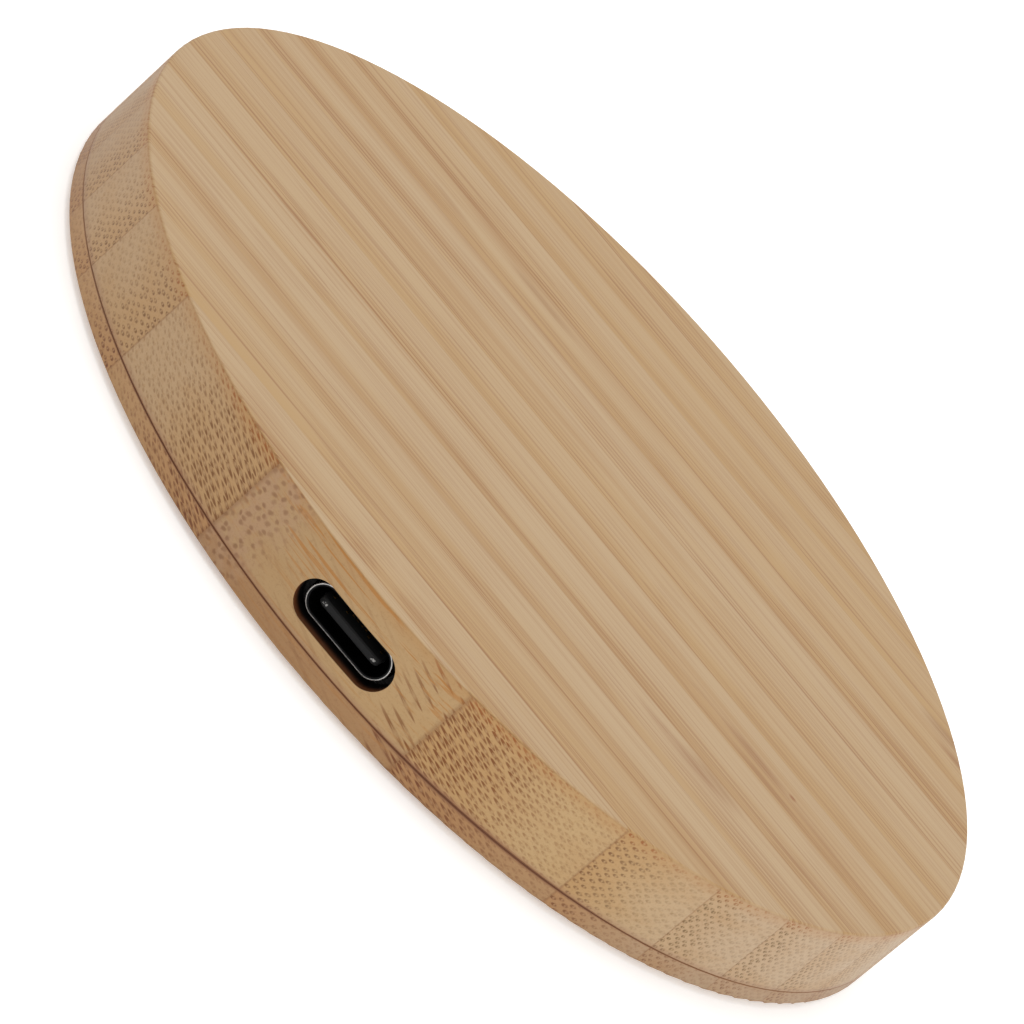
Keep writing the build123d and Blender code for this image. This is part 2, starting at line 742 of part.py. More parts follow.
def thermistor_bead():
    x, y, z = BEAD_PLACE
    neck = Cylinder(BEAD_RADIUS * BEAD_NECK["share"], BEAD_NECK["length"])
    neck = Location((x, y - BEAD_NECK["back"], z), (90, 0, 0)) * neck
    return Location(BEAD_PLACE) * Sphere(BEAD_RADIUS) + neck


def thermistor_wires():
    """Two thin wires from the bead, down through the ferrite's hole and along its back."""
    x0, y0, z0 = BEAD_PLACE
    under = FERRITE_Z - SENSOR_WIRE_RADIUS - THIN_GAP
    low = BOARD_TOP_Z + SENSOR_WIRE_RADIUS + THIN_GAP
    start, bend, back = (y0 - run for run in SENSOR_WIRE_RUNS)
    drop_from, drop_to = SENSOR_DROP_Y
    wires = []
    for x in (x0 - SENSOR_WIRE_X, x0 + SENSOR_WIRE_X):
        points = [
            (x, start, z0),
            (x, bend, z0),
            (x, back, under),
            (x, drop_from, under),
            (x, drop_to, low),
            (x, LEAD_END_Y, low),
        ]
        path = FilletPolyline(*points, radius=SENSOR_WIRE_BENDS)
        wires.append(tube(path, SENSOR_WIRE_RADIUS))
    return wires


def wire_tape():
    """A strip of film that holds the sensor's wires to the ferrite."""
    top = FERRITE_Z - 2 * SENSOR_WIRE_RADIUS - THIN_GAP - FILM_GAP
    return box(*FILM_X, *FILM_Y, top - FILM_THICKNESS, top)


def write(name, shape):
    """Writes one node, whose shape is a solid or a list of separate solids."""
    group = Compound(list(shape)) if isinstance(shape, (list, tuple)) else shape
    export_step(group, os.path.join("parts", f"{name}.step"))


def main():
    os.makedirs("parts", exist_ok=True)
    nodes = (
        top_shell,
        bottom_plate,
        foot_adhesives,
        plate_screws,
        board_screws,
        usb_shell,
        usb_tongue,
        usb_mid_plate,
        usb_contacts,
        circuit_board,
        controller_chip,
        bridge_chips,
        protocol_chip,
        resonant_capacitors,
        input_capacitors,
        sense_resistor,
        status_led,
        input_inductor,
        signal_resistors,
        signal_capacitors,
        solder_joints,
        charging_coil,
        inner_lead_sleeve,
        coil_tape,
        ferrite_tape,
        ferrite_shield,
        thermistor_bead,
        thermistor_wires,
        wire_tape,
    )
    for node in nodes:
        write(node.__name__, node())
    for name, x, y in foot_places():
        write(f"foot_{name}", foot(x, y))


main()
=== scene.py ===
# The looks of a round bamboo charging pad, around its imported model. Lengths in materials are in millimetres.

import json
import math

import bpy
from mathutils import Matrix, Vector


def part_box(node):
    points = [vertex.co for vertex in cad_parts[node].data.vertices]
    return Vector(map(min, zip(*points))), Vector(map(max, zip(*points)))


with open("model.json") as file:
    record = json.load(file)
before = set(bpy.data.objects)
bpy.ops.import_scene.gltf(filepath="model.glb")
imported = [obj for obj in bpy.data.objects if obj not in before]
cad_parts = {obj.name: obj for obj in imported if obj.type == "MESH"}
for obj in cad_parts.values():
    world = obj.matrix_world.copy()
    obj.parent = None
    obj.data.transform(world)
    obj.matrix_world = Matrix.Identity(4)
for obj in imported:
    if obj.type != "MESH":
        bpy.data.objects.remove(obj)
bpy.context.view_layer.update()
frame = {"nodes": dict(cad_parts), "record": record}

MM = 0.001

# Places in the frame, in millimetres
shell_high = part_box("top_shell")[1] / MM
plate_low, plate_high = (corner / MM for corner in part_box("bottom_plate"))
PAD_RADIUS = shell_high.x
SEAM_Z = plate_high.z
TOP_Z = shell_high.z
RIM_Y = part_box("usb_shell")[0].y / MM
INLET_Z = sum(corner.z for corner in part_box("usb_mid_plate")) / 2 / MM
RECEPTACLE_WIDTH = 8.94
RECEPTACLE_HEIGHT = 3.16

# The grain: strips of bamboo on edge, glued face to face, whose fibres run nearly along X. The gap is between
# fibre bundles, and the rise is that of the bundles in the two front strips
GRAIN_TURN = math.radians(-2.0)
STRIP_WIDTH = 6.78
FIRST_JOINT = -0.970 * PAD_RADIUS
BUNDLE_GAP = 0.56
FRONT_RISE = 0.30

# Places along X on the wall: where the node left of the inlet fades in and out, where the front strip stops
# being plain, where its long streaks end, and the half width of the scorched slot
NODE_LEFT = (-15.0, -12.6)
NODE_RIGHT = (-10.5, -7.0)
PLAIN_END = (4.0, 8.0)
STREAKS_END = (8.0, 12.0)
SLOT_END = (6.0, 7.0)

# How far round from the inlet the seam is widest, in radians
SEAM_WIDEST = 0.38

# Nodes seen on the charging face: along and over the grain, half length, half width, depth and tone
FACE_NODES = (
    (-20.0, 21.4, 7.0, 1.6, 0.75, "tan"),
    (-14.0, 20.0, 6.0, 1.2, 0.6, "line"),
    (-25.0, 17.6, 5.0, 0.9, 0.5, "line"),
    (24.5, -20.6, 8.0, 1.1, 0.6, "thread"),
    (27.5, -19.6, 5.0, 1.4, 0.6, "line"),
    (28.0, -9.6, 5.0, 1.2, 0.7, "thread"),
    (30.6, -11.4, 6.0, 0.7, 0.6, "thread"),
    (32.6, -8.9, 0.6, 0.4, 1.0, "bundle_rim"),
    (37.0, 28.2, 5.0, 1.6, 0.8, "line"),
    (39.5, 26.0, 4.0, 0.9, 0.6, "thread"),
)

# The camera: its distance from the pad's middle in metres, its angles in radians, and its lens and sensor in
# millimetres
CAMERA_DISTANCE = 10.476 * PAD_RADIUS * MM
CAMERA_ELEVATION = math.radians(21.70)
CAMERA_AZIMUTH = math.radians(2.3)
CAMERA_ROLL = math.radians(48.88)
CAMERA_PAN = -0.00337
CAMERA_TILT = 0.00129
CAMERA_LENS = 210.4
CAMERA_SENSOR = 36.0


def srgb(red, green, blue):
    """A colour given as 0-255 display values, in the linear form that shaders take."""
    channels = []
    for value in (red, green, blue):
        part = value / 255
        channels.append(part / 12.92 if part <= 0.04045 else ((part + 0.055) / 1.055) ** 2.4)
    return (*channels, 1.0)


class Graph:
    """A material's node tree, with short calls for the nodes that the materials use."""

    def __init__(self, name):
        self.material = bpy.data.materials.new(name)
        self.material.use_nodes = True
        self.tree = self.material.node_tree
        self.shader = self.tree.nodes["Principled BSDF"]
        self.coordinates = self.tree.nodes.new("ShaderNodeTexCoord")

    def put(self, socket, value):
        """Links a socket to a value's output, or sets it to a plain number."""
        if isinstance(value, bpy.types.NodeSocket):
            self.tree.links.new(value, socket)
        else:
            socket.default_value = value

    def node(self, kind, settings=None, **inputs):
        made = self.tree.nodes.new(kind)
        for key, value in (settings or {}).items():
            setattr(made, key, value)
        for key, value in inputs.items():
            self.put(made.inputs[key.replace("_", " ")], value)
        return made

    def math(self, operation, *values):
        made = self.tree.nodes.new("ShaderNodeMath")
        made.operation = operation
        for socket, value in zip(made.inputs, values):
            self.put(socket, value)
        return made.outputs[0]

    def add(self, *values):
        total = values[0]
        for value in values[1:]:
            total = self.math("ADD", total, value)
        return total

    def sub(self, a, b):
        return self.math("SUBTRACT", a, b)

    def mul(self, *values):
        total = values[0]
        for value in values[1:]:
            total = self.math("MULTIPLY", total, value)
        return total

    def spread(self, value, low, high, to_low=0.0, to_high=1.0):
        """A smooth step from to_low at low to to_high at high."""
        made = self.node("ShaderNodeMapRange", {"interpolation_type": "SMOOTHSTEP"})
        for key, number in (
            ("Value", value),
            ("From Min", low),
            ("From Max", high),
            ("To Min", to_low),
            ("To Max", to_high),
        ):
            self.put(made.inputs[key], number)
        return made.outputs["Result"]

    def vector(self, x, y, z=0.0):
        return self.node("ShaderNodeCombineXYZ", X=x, Y=y, Z=z).outputs[0]

    def split(self, vector):
        return self.node("ShaderNodeSeparateXYZ", Vector=vector).outputs

    def place(self):
        """X, Y and Z in millimetres."""
        scaled = self.node("ShaderNodeVectorMath", {"operation": "SCALE"})
        self.put(scaled.inputs[0], self.coordinates.outputs["Object"])
        self.put(scaled.inputs["Scale"], 1 / MM)
        return tuple(self.split(scaled.outputs[0]))

    def noise(self, vector, scale=1.0, detail=2.0, roughness=0.5):
        made = self.node(
            "ShaderNodeTexNoise",
            Vector=vector,
            Scale=scale,
            Detail=detail,
            Roughness=roughness,
        )
        return made.outputs[0]

    def cells(self, vector, randomness, dimensions="2D", scale=1.0):
        settings = {"voronoi_dimensions": dimensions, "feature": "F1"}
        return self.node(
            "ShaderNodeTexVoronoi",
            settings,
            Vector=vector,
            Scale=scale,
            Randomness=randomness,
        ).outputs

    def random(self, value, seed=0.0):
        """One number from 0 to 1 for each whole number."""
        made = self.node(
            "ShaderNodeTexWhiteNoise",
            {"noise_dimensions": "2D"},
            Vector=self.vector(value, seed),
        )
        return made.outputs["Value"]

    def mix(self, share, a, b, blend="MIX"):
        """Colour a turning into b."""
        made = self.tree.nodes.new("ShaderNodeMix")
        made.data_type = "RGBA"
        made.blend_type = blend
        made.clamp_factor = True
        self.put(made.inputs[0], share)
        self.put(made.inputs[6], a)
        self.put(made.inputs[7], b)
        return made.outputs[2]

    def bump(self, height, distance_mm, strength=1.0):
        made = self.node(
            "ShaderNodeBump", Height=height, Distance=distance_mm * MM, Strength=strength
        )
        self.put(self.shader.inputs["Normal"], made.outputs[0])

    def finish(self, **inputs):
        for key, value in inputs.items():
            self.put(self.shader.inputs[key.replace("_", " ")], value)
        return self.material


# Bamboo


def bamboo(name, tones, seed, scorch_from, scorch_to, face_nodes=()):
    """Bamboo laminated from strips on edge, cut by any surface.

    Each strip was a slice through the culm's wall, so its fibre bundles are small, dark and crowded at its
    outer side, which is turned to -Y, and few and pale at its inner side. The bundles run along the grain:
    they are dots where a surface cuts across them and streaks where it runs along them. Strip -1, in front,
    holds the inlet. Inside the slot, between the two heights given, the wood is scorched, and painted shade
    darkens it deeper in.
    """
    g = Graph(name)
    x, y, z = g.place()
    along = g.add(g.mul(x, math.cos(GRAIN_TURN)), g.mul(y, math.sin(GRAIN_TURN)))
    over = g.add(g.mul(x, -math.sin(GRAIN_TURN)), g.mul(y, math.cos(GRAIN_TURN)))

    # Where the point is: which strip, and how far across it
    strips = g.mul(g.sub(over, FIRST_JOINT), 1 / STRIP_WIDTH)
    strip = g.math("FLOOR", strips)
    across = g.math("FRACT", strips)
    tint = g.random(strip, seed)
    lean = g.sub(g.random(strip, seed + 1), 0.5)
    darkness = g.random(strip, seed + 2)
    front_strip = g.math("LESS_THAN", strip, -0.5)
    crowd = g.spread(across, 0.0, 0.75, 1.0, 0.0)

    # The face, along which bundles show as streaks, and the wall, at whose ends they show as dots
    facing = g.split(g.coordinates.outputs["Normal"])[2]
    wall = g.spread(g.math("ABSOLUTE", facing), 0.35, 0.85, 1.0, 0.0)

    # The fibres waver a little
    drift = g.vector(g.mul(along, 0.035), g.mul(over, 0.05), g.add(g.mul(z, 0.05), g.mul(strip, 3.7)))
    waver = g.sub(g.noise(drift, detail=2.0), 0.5)
    waver_2 = g.sub(g.noise(g.vector(g.mul(along, 0.05), strip, 7.3), detail=1.0), 0.5)

    # Bundles stand in diagonal rows, closer together towards the outer side. In the two front strips they
    # fall along the wall, and they are closest in the second and farthest apart in the first. The odd offsets
    # here and in the noises below keep one pattern from repeating in the next
    sideways = g.mul(g.sub(g.mul(across, 1.25), g.mul(across, across, 0.25)), STRIP_WIDTH)
    sideways = g.add(sideways, g.mul(strip, 17.31), g.mul(waver, 0.9))
    foremost = g.math("LESS_THAN", strip, 0.5)
    slope = g.add(g.mul(lean, 0.045), g.mul(foremost, wall, FRONT_RISE))
    upward = g.add(z, g.mul(slope, along), g.mul(darkness, 9.0), g.mul(waver_2, 1.2))
    closeness = g.add(g.mul(foremost, 0.25), g.mul(front_strip, -0.45), 1.0)
    diagonal = g.mul(closeness, 1 / (math.sqrt(2) * BUNDLE_GAP))
    lattice_a = g.mul(g.add(sideways, upward), diagonal)
    lattice_b = g.mul(g.sub(upward, sideways), diagonal)
    cells = g.cells(g.vector(lattice_a, lattice_b), 0.42)
    cell_tone = g.split(cells["Color"])

    # How far the point is from its bundle's middle, if every bundle had the same size
    size = g.math("MULTIPLY_ADD", cell_tone[0], 0.3, g.math("MULTIPLY_ADD", front_strip, -0.2, 0.85))
    long_size = g.math("MULTIPLY_ADD", g.mul(foremost, crowd), 0.7, size)
    centre = g.split(cells["Position"])
    from_a, from_b = g.sub(lattice_a, centre[0]), g.sub(lattice_b, centre[1])
    half = BUNDLE_GAP / math.sqrt(2)
    from_side = g.math("DIVIDE", g.mul(g.sub(from_a, from_b), half), long_size)
    from_up = g.math("DIVIDE", g.mul(g.add(from_a, from_b), half), size)

    def blot(side, radius):
        """A round soft spot, that far to the inner side of its bundle's middle."""
        reach = g.vector(g.sub(from_side, side), from_up)
        away = g.node("ShaderNodeVectorMath", {"operation": "LENGTH"}, Vector=reach).outputs["Value"]
        return g.spread(away, 0.55 * radius, 1.15 * radius, 1.0, 0.0)

    # Each bundle is a pale vein between two dark caps, in a faint ring
    vein = blot(0.02, 0.08)
    ring = g.mul(blot(0.0, 0.20), g.sub(1.0, blot(0.02, 0.12)), 0.45)
    caps = g.math("MAXIMUM", blot(-0.08, 0.145), g.mul(blot(0.11, 0.11), 0.8))
    caps = g.math("MAXIMUM", g.mul(caps, g.sub(1.0, g.mul(vein, 0.6))), ring)
    packed = g.math("MAXIMUM", crowd, g.mul(front_strip, 0.9))
    strength = g.math("MULTIPLY_ADD", packed, 0.65, 0.38)
    strength = g.mul(strength, g.math("MULTIPLY_ADD", darkness, 0.35, 0.75))
    strength = g.mul(strength, g.math("MULTIPLY_ADD", cell_tone[1], 0.4, 0.75))
    bundle = g.mul(caps, strength)

    # Fine fibre lines, and slow changes of tone
    fine = g.noise(g.vector(g.mul(along, 0.03), g.mul(over, 4.6), g.mul(z, 4.6)), detail=2.5, roughness=0.55)
    thread = g.noise(g.vector(g.mul(along, 0.018), g.mul(over, 3.0), g.add(g.mul(z, 1.6), 31.7)), detail=1.0)
    broad = g.noise(g.vector(g.mul(along, 0.010), g.mul(over, 0.30), g.mul(z, 0.30)), detail=2.0)
    grit = g.noise(g.vector(g.mul(along, 0.6), g.mul(over, 4.0), g.mul(z, 4.0)), detail=2.0)
    cloud = g.noise(g.vector(g.mul(x, 0.11), g.mul(y, 0.11), g.mul(z, 0.3)), detail=3.0)

    # The ground: pale at the inner side of a strip, yellower at its outer side
    depth_tone = g.add(g.mul(crowd, 0.55), g.mul(tint, 0.45), g.sub(broad, 0.5))
    base = g.mix(g.spread(depth_tone, 0.0, 1.0), tones["pale"], tones["yellow"])
    base = g.mix(g.spread(broad, 0.52, 0.72, 0.0, 0.5), base, tones["tan"])

    # The wall's ground: greyer at the left, paler at the right, and darker on the front strip; at the far
    # left, painted shade darkens it
    wall_tone = g.mix(g.spread(x, -30.0, 20.0), tones["wall_grey"], tones["wall_warm"])
    wall_tone = g.mix(g.spread(x, 22.0, 40.0), wall_tone, tones["wall_pale"])
    dense_side = g.mul(crowd, g.spread(x, -30.0, 5.0, 0.35, 0.55), g.spread(x, 20.0, 34.0, 1.0, 0.3))
    wall_tone = g.mix(dense_side, wall_tone, tones["amber"])
    wall_tone = g.mix(g.spread(cloud, 0.45, 0.65, 0.0, 0.35), wall_tone, tones["tan"])
    wall_tone = g.mix(g.mul(front_strip, g.spread(x, -8.0, 6.0, 0.6, 0.38)), wall_tone, tones["plain"])
    # Painted shade darkens the wall at its far left end
    wall_tone = g.mix(g.spread(x, -46.0, -37.0, 0.32, 0.0), wall_tone, tones["bundle_grey"])
    base = g.mix(g.mul(wall, 0.8), base, wall_tone)

    # Fine lines everywhere, and darker threads along the face
    lines = g.spread(fine, 0.50, 0.72)
    base = g.mix(g.mul(lines, g.math("MULTIPLY_ADD", wall, -0.02, 0.32)), base, tones["line"])
    face = g.sub(1.0, wall)
    threads = g.mul(g.spread(thread, 0.59, 0.64), g.math("MULTIPLY_ADD", crowd, 0.55, 0.12), face)
    base = g.mix(threads, base, tones["thread"])

    # Dots are browner near the charging face, greyer at the left and greener at the right
    rim = g.mul(g.spread(z, TOP_Z - 1.6, TOP_Z - 0.2), wall)
    base = g.mix(g.mul(rim, 0.35), base, tones["amber"])
    base = g.mix(g.mul(vein, wall, crowd, 0.35), base, tones["pale"])
    ink = g.mix(g.spread(x, -35.0, 10.0), tones["bundle_grey"], tones["bundle_warm"])
    ink = g.mix(g.spread(x, 20.0, 32.0, 0.0, 0.8), ink, tones["bundle_green"])
    ink = g.mix(rim, ink, tones["bundle_rim"])
    plain = g.mul(front_strip, g.spread(x, *PLAIN_END, 1.0, 0.0), wall)
    quiet = g.math("MULTIPLY_ADD", plain, -0.8, 1.0)
    streaks = g.mul(bundle, g.math("MULTIPLY_ADD", wall, 0.5, 0.5), quiet)
    base = g.mix(streaks, base, g.mix(wall, tones["thread"], ink))

    # The front strip is nearly plain: some long streaks, and a node at its left end
    slender = g.noise(g.vector(g.mul(along, 0.07), g.mul(over, 1.4), g.mul(z, 3.6)))
    slender = g.mul(g.spread(slender, 0.55, 0.66), g.spread(x, *STREAKS_END, 1.0, 0.0), front_strip, wall)
    upper_side = g.spread(z, INLET_Z - 1.0, INLET_Z + 2.5, 0.4, 1.0)
    base = g.mix(g.mul(slender, upper_side, 0.8), base, tones["streak"])
    node_place = g.mul(g.spread(x, *NODE_LEFT), g.spread(x, *NODE_RIGHT, 1.0, 0.0), front_strip, wall)
    twist = g.noise(g.vector(x, y, z), scale=1.1)
    knot_spot = g.vector(g.add(g.mul(x, 0.85), g.mul(twist, 0.5)), g.add(z, g.mul(twist, 0.6)))
    knots = g.cells(knot_spot, 0.8, scale=1.4)
    knot = g.spread(knots["Distance"], 0.12, 0.38, 1.0, 0.0)
    knot = g.mul(knot, g.math("MULTIPLY_ADD", g.split(knots["Color"])[0], 0.5, 0.6))
    base = g.mix(g.mul(node_place, g.spread(twist, 0.4, 0.6, 0.3, 0.8)), base, tones["node"])
    base = g.mix(g.mul(knot, node_place, 0.65), base, tones["knot"])

    # Specks all over the wall, and a shaded hem just over the seam
    speck = g.noise(g.vector(g.mul(x, 0.7), y, z), scale=5.0, roughness=0.7)
    base = g.mix(g.mul(g.spread(speck, 0.50, 0.75), wall, 0.22), base, tones["bundle_grey"])
    over_seam = g.spread(z, SEAM_Z, SEAM_Z + 0.02)
    hem = g.mul(g.spread(z, SEAM_Z + 0.1, SEAM_Z + 0.7, 1.0, 0.0), over_seam, wall)
    base = g.mix(g.mul(hem, 0.4), base, tones["hem"])

    # Nodes of the culm, where the face is browner and its lines are crowded
    node_grain = g.noise(g.vector(g.mul(along, 0.2), g.mul(over, 5.0), 3.3), detail=2.0)
    crowding = g.spread(node_grain, 0.3, 0.7, 0.4, 1.15)
    wavy_over = g.add(over, g.mul(waver, 1.5))
    for mark_along, mark_over, length, width, depth, tone in face_nodes:
        reach_along = g.math("POWER", g.mul(g.sub(along, mark_along), 1 / length), 2.0)
        reach_over = g.math("POWER", g.mul(g.sub(wavy_over, mark_over), 1 / width), 2.0)
        reach = g.math("SQRT", g.add(reach_along, reach_over))
        mark = g.mul(g.spread(reach, 0.2, 1.0, depth, 0.0), crowding, face)
        base = g.mix(mark, base, tones[tone])

    # Glue lines
    edge = g.math("MINIMUM", across, g.sub(1.0, across))
    glue = g.spread(g.mul(edge, STRIP_WIDTH), 0.01, 0.10, 1.0, 0.0)
    base = g.mix(g.mul(glue, g.math("MULTIPLY_ADD", wall, 0.28, 0.12)), base, tones["glue"])

    # The dark gap between shell and plate, widest to the right of the inlet: a brown joint line, with painted
    # shade in the gap and beside it
    radius = g.math("SQRT", g.add(g.mul(x, x), g.mul(y, y)))
    inset = g.sub(PAD_RADIUS, radius)
    turn = g.math("ARCTAN2", x, g.mul(y, -1.0))
    wide = g.spread(g.math("ABSOLUTE", g.sub(turn, SEAM_WIDEST)), 0.08, 0.30, 1.0, 0.0)
    near = g.spread(g.math("ABSOLUTE", turn), 0.5, 1.1, 1.0, 0.0)
    ragged = g.noise(g.vector(g.mul(turn, 9.0), 0.0, 0.0), detail=3.0)
    half_gap = g.add(g.mul(wide, 0.05), g.mul(ragged, 0.05), g.mul(near, 0.03), 0.02)
    seam = g.sub(g.math("ABSOLUTE", g.sub(z, SEAM_Z)), half_gap)
    # Painted shade beside the gap reaches this far
    seam_shade_reach = g.add(g.mul(wide, 0.14), g.mul(near, 0.07), 0.04)
    base = g.mix(g.mul(g.spread(seam, 0.0, seam_shade_reach, 1.0, 0.0), 0.85), base, tones["seam"])
    base = g.mix(g.spread(seam, -0.02, 0.03, 1.0, 0.0), base, g.mix(near, tones["seam"], tones["gap"]))

    # The slot is scorched at its mouth, and painted shade darkens it to near black deeper in
    over_lower = g.spread(z, scorch_from, scorch_from + 0.1)
    under_upper = g.spread(z, scorch_to - 0.1, scorch_to, 1.0, 0.0)
    from_slot = g.spread(g.math("ABSOLUTE", x), *SLOT_END, 0.0, 0.8)
    scorch = g.mul(g.spread(g.sub(inset, from_slot), 0.03, 0.15), over_lower, under_upper)
    deep_shade = g.spread(g.add(inset, g.mul(g.sub(cloud, 0.5), 0.5)), 0.15, 1.3)
    base = g.mix(scorch, base, g.mix(deep_shade, tones["scorch"], tones["char_and_shade"]))

    roughness = g.add(g.mul(fine, 0.16), g.mul(wall, 0.08), 0.40)
    height = g.add(g.mul(fine, -0.22), g.mul(bundle, wall, quiet, -0.4), g.mul(grit, 0.25))
    g.bump(height, 0.05, 0.7)
    return g.finish(Base_Color=base, Roughness=roughness, Specular_IOR_Level=0.35)


SHELL_TONES = {
    "pale": srgb(179, 150, 112),
    "yellow": srgb(174, 139, 90),
    "tan": srgb(164, 126, 80),
    "wall_grey": srgb(166, 136, 101),
    "wall_warm": srgb(172, 141, 96),
    "wall_pale": srgb(172, 148, 120),
    "amber": srgb(162, 117, 64),
    "line": srgb(150, 110, 66),
    "thread": srgb(140, 92, 48),
    "plain": srgb(151, 117, 72),
    "streak": srgb(158, 104, 42),
    "bundle_grey": srgb(112, 76, 40),
    "bundle_warm": srgb(114, 66, 22),
    "bundle_green": srgb(112, 90, 54),
    "bundle_rim": srgb(138, 80, 30),
    "node": srgb(160, 126, 94),
    "knot": srgb(116, 76, 46),
    "hem": srgb(142, 104, 80),
    "glue": srgb(116, 74, 38),
    # The seam and gap tones: a brown joint line, darkened with painted shade in and beside the gap
    "seam": srgb(136, 96, 62),
    "gap": srgb(106, 64, 38),
    # Scorch at the slot's mouth, and char darkened with painted shade deeper in
    "scorch": srgb(104, 58, 28),
    "char_and_shade": srgb(7, 5, 4),
}

PLATE_TONES = {
    **SHELL_TONES,
    "pale": srgb(168, 138, 104),
    "yellow": srgb(162, 128, 86),
    "tan": srgb(150, 108, 66),
    "wall_grey": srgb(166, 127, 84),
    "wall_warm": srgb(155, 117, 76),
    "wall_pale": srgb(160, 134, 106),
    "amber": srgb(160, 111, 66),
    "line": srgb(134, 92, 56),
    "thread": srgb(130, 82, 46),
    "plain": srgb(138, 96, 54),
    "bundle_grey": srgb(104, 58, 28),
    "bundle_warm": srgb(108, 60, 28),
    "bundle_green": srgb(112, 72, 40),
    "bundle_rim": srgb(96, 50, 20),
}


# Everything else


def speckled(name, colour, other, grain, metallic, roughness, rougher, bump, stretch=(1, 1, 1)):
    """A material with mottling from other into colour, in grains of that many millimetres."""
    g = Graph(name)
    x, y, z = g.place()
    spot = g.vector(*(g.mul(axis, factor / grain) for axis, factor in zip((x, y, z), stretch)))
    coarse = g.noise(spot, detail=3.0)
    fine = g.noise(spot, scale=6.0, detail=2.0)
    tone = g.mix(g.spread(coarse, 0.35, 0.65), colour, other)
    tone = g.mix(g.spread(fine, 0.55, 0.75, 0.0, 0.25), tone, other)
    g.bump(g.add(coarse, g.mul(fine, 0.5)), bump)
    return g.finish(
        Base_Color=tone,
        Metallic=metallic,
        Roughness=g.math("MULTIPLY_ADD", fine, rougher, roughness),
    )


def silicone():
    """Dull moulded silicone, dusty and a little worn on the face that meets the table."""
    g = Graph("silicone")
    x, y, z = g.place()
    spot = g.vector(x, y, z)
    pores = g.cells(spot, 1.0, "3D", 5.0)["Distance"]
    dust = g.noise(spot, scale=0.9, detail=4.0)
    worn = g.mul(g.spread(z, 0.0, 0.12, 1.0, 0.0), g.spread(dust, 0.45, 0.7))
    tone = g.mix(g.spread(dust, 0.3, 0.7), srgb(44, 44, 46), srgb(62, 62, 64))
    tone = g.mix(g.mul(worn, 0.3), tone, srgb(104, 102, 98))
    g.bump(g.add(g.mul(pores, 0.6), dust), 0.02)
    return g.finish(Base_Color=tone, Roughness=g.math("MULTIPLY_ADD", dust, 0.2, 0.6))


def solder_mask():
    """Green board lacquer over copper tracks, with tinned vias."""
    g = Graph("solder_mask")
    x, y, z = g.place()
    lane = g.vector(g.mul(x, 0.5), g.mul(y, 0.18), 0.0)
    run = g.cells(lane, 0.9, "2D", 2.2)
    track = g.math("FRACT", g.add(g.mul(x, 1.1), g.mul(g.split(run["Color"])[0], 3.0)))
    track = g.spread(g.math("ABSOLUTE", g.sub(track, 0.5)), 0.16, 0.22, 1.0, 0.0)
    vias = g.cells(g.vector(x, y), 0.8, "2D", 0.45)["Distance"]
    via = g.spread(vias, 0.10, 0.13, 1.0, 0.0)
    grain = g.noise(g.vector(x, y, z), scale=3.0, detail=3.0)
    tone = g.mix(grain, srgb(16, 78, 44), srgb(22, 92, 52))
    tone = g.mix(g.mul(track, 0.6), tone, srgb(38, 122, 66))
    tone = g.mix(via, tone, srgb(176, 178, 176))
    g.bump(g.add(g.mul(track, 0.6), g.mul(grain, 0.2)), 0.03)
    return g.finish(
        Base_Color=tone,
        Metallic=g.mul(via, 0.9),
        Roughness=g.math("MULTIPLY_ADD", grain, 0.15, 0.22),
    )


def litz_wire():
    """Bunched strands of enamelled copper, twisted along each turn."""
    g = Graph("litz_wire")
    x, y, z = g.place()
    radius = g.math("SQRT", g.add(g.mul(x, x), g.mul(y, y)))
    turn = g.math("ARCTAN2", y, x)
    twist = g.add(g.mul(turn, radius, 2.6), g.mul(radius, 9.0), g.mul(z, 7.0))
    strand = g.math("SINE", g.mul(twist, 1.3))
    wear = g.noise(g.vector(x, y, z), scale=1.4, detail=3.0)
    tone = g.mix(g.math("MULTIPLY_ADD", strand, 0.5, 0.5), srgb(112, 52, 24), srgb(190, 108, 58))
    tone = g.mix(g.spread(wear, 0.5, 0.8, 0.0, 0.5), tone, srgb(206, 132, 82))
    g.bump(strand, 0.04)
    return g.finish(Base_Color=tone, Metallic=0.8, Roughness=g.math("MULTIPLY_ADD", wear, 0.2, 0.25))


def wire_sleeve():
    """Woven glass sleeving: two sets of yarns that cross."""
    g = Graph("wire_sleeve")
    x, y, z = g.place()
    left = g.math("SINE", g.mul(g.add(y, g.mul(x, 1.3), g.mul(z, 1.3)), 14.0))
    right = g.math("SINE", g.mul(g.sub(y, g.add(g.mul(x, 1.3), g.mul(z, 1.3))), 14.0))
    weave = g.math("MAXIMUM", left, right)
    soil = g.noise(g.vector(x, y, z), scale=2.0, detail=3.0)
    tone = g.mix(g.spread(weave, -0.2, 1.0), srgb(176, 168, 146), srgb(232, 226, 208))
    tone = g.mix(g.spread(soil, 0.5, 0.8, 0.0, 0.4), tone, srgb(196, 184, 156))
    g.bump(weave, 0.05)
    return g.finish(Base_Color=tone, Roughness=g.math("MULTIPLY_ADD", soil, 0.2, 0.6))


